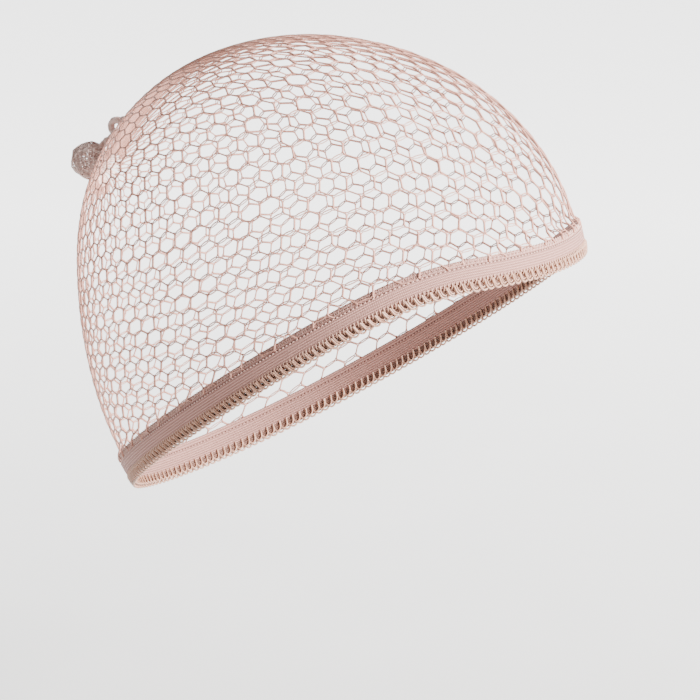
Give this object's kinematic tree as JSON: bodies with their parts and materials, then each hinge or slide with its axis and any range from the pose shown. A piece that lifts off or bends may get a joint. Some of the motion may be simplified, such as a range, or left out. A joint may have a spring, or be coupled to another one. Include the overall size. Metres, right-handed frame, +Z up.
{
  "type": "wig cap",
  "caption": "Open-net wig cap in its worn dome shape, with a flat elastic band, a looped lower edge and a gathered knot at the back of the crown.",
  "frame": {"origin": "inside of the crown, where the top of a head bears", "axes": "+Z up, -Y towards the brow, -X towards the wearer's right"},
  "size_m": [0.15, 0.2053, 0.1772],
  "materials": {
    "net": "knitted stretch net",
    "elastic": "woven elastic, matt",
    "picot": "satin thread loops",
    "gathered_net": "gathered stretch net"
  },
  "bodies": {
    "root": {"net_crown": "net", "elastic_band": "elastic", "picot_edge": "picot", "crown_knot": "gathered_net", "knot_tail": "gathered_net", "tail_loop": "gathered_net"}
  },
  "joints": []
}
